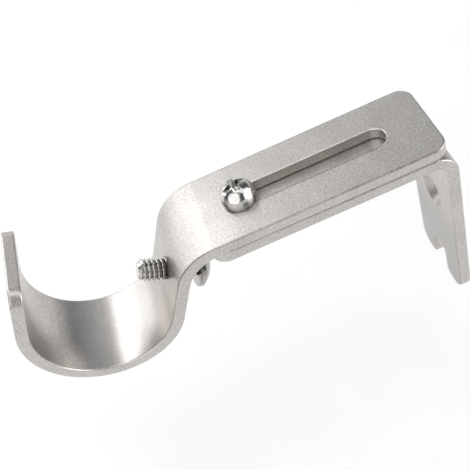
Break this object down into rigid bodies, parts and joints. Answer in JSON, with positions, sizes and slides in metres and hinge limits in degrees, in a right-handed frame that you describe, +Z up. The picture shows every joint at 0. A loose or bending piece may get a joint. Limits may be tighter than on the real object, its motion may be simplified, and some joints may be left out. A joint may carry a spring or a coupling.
{
  "type": "adjustable curtain pole bracket",
  "caption": "Adjustable bracket of two folded steel straps that holds a curtain pole off a wall in an open cradle with a clamp screw.",
  "frame": {"origin": "axis of the wall screw's hole at the plate's back face, on the wall", "axes": "+X along the pole, +Y towards the wall, +Z up"},
  "size_m": [0.02, 0.095, 0.0612],
  "materials": {
    "satin_strap": "satin nickel plate, fine-blasted",
    "bright_screw": "bright nickel plate"
  },
  "bodies": {
    "wall_strap": {"wall_strap": "satin_strap"},
    "hook_strap": {"hook_strap": "satin_strap"},
    "adjusting_screw": {"adjusting_screw": "bright_screw"},
    "clamp_screw": {"clamp_screw": "bright_screw"}
  },
  "joints": [
    {"name": "arm_slide", "type": "slide", "parent": "wall_strap", "child": "hook_strap", "axis": [0, -1, 0], "range_m": [0, 0.029]},
    {"name": "adjusting_screw_lift", "type": "slide", "parent": "wall_strap", "child": "adjusting_screw", "axis": [0, 0, 1], "range_m": [0, 0.002]},
    {"name": "clamp_screw_feed", "type": "slide", "parent": "hook_strap", "child": "clamp_screw", "axis": [0, -0.891, 0.454], "range_m": [-0.0058, 0.004]}
  ]
}
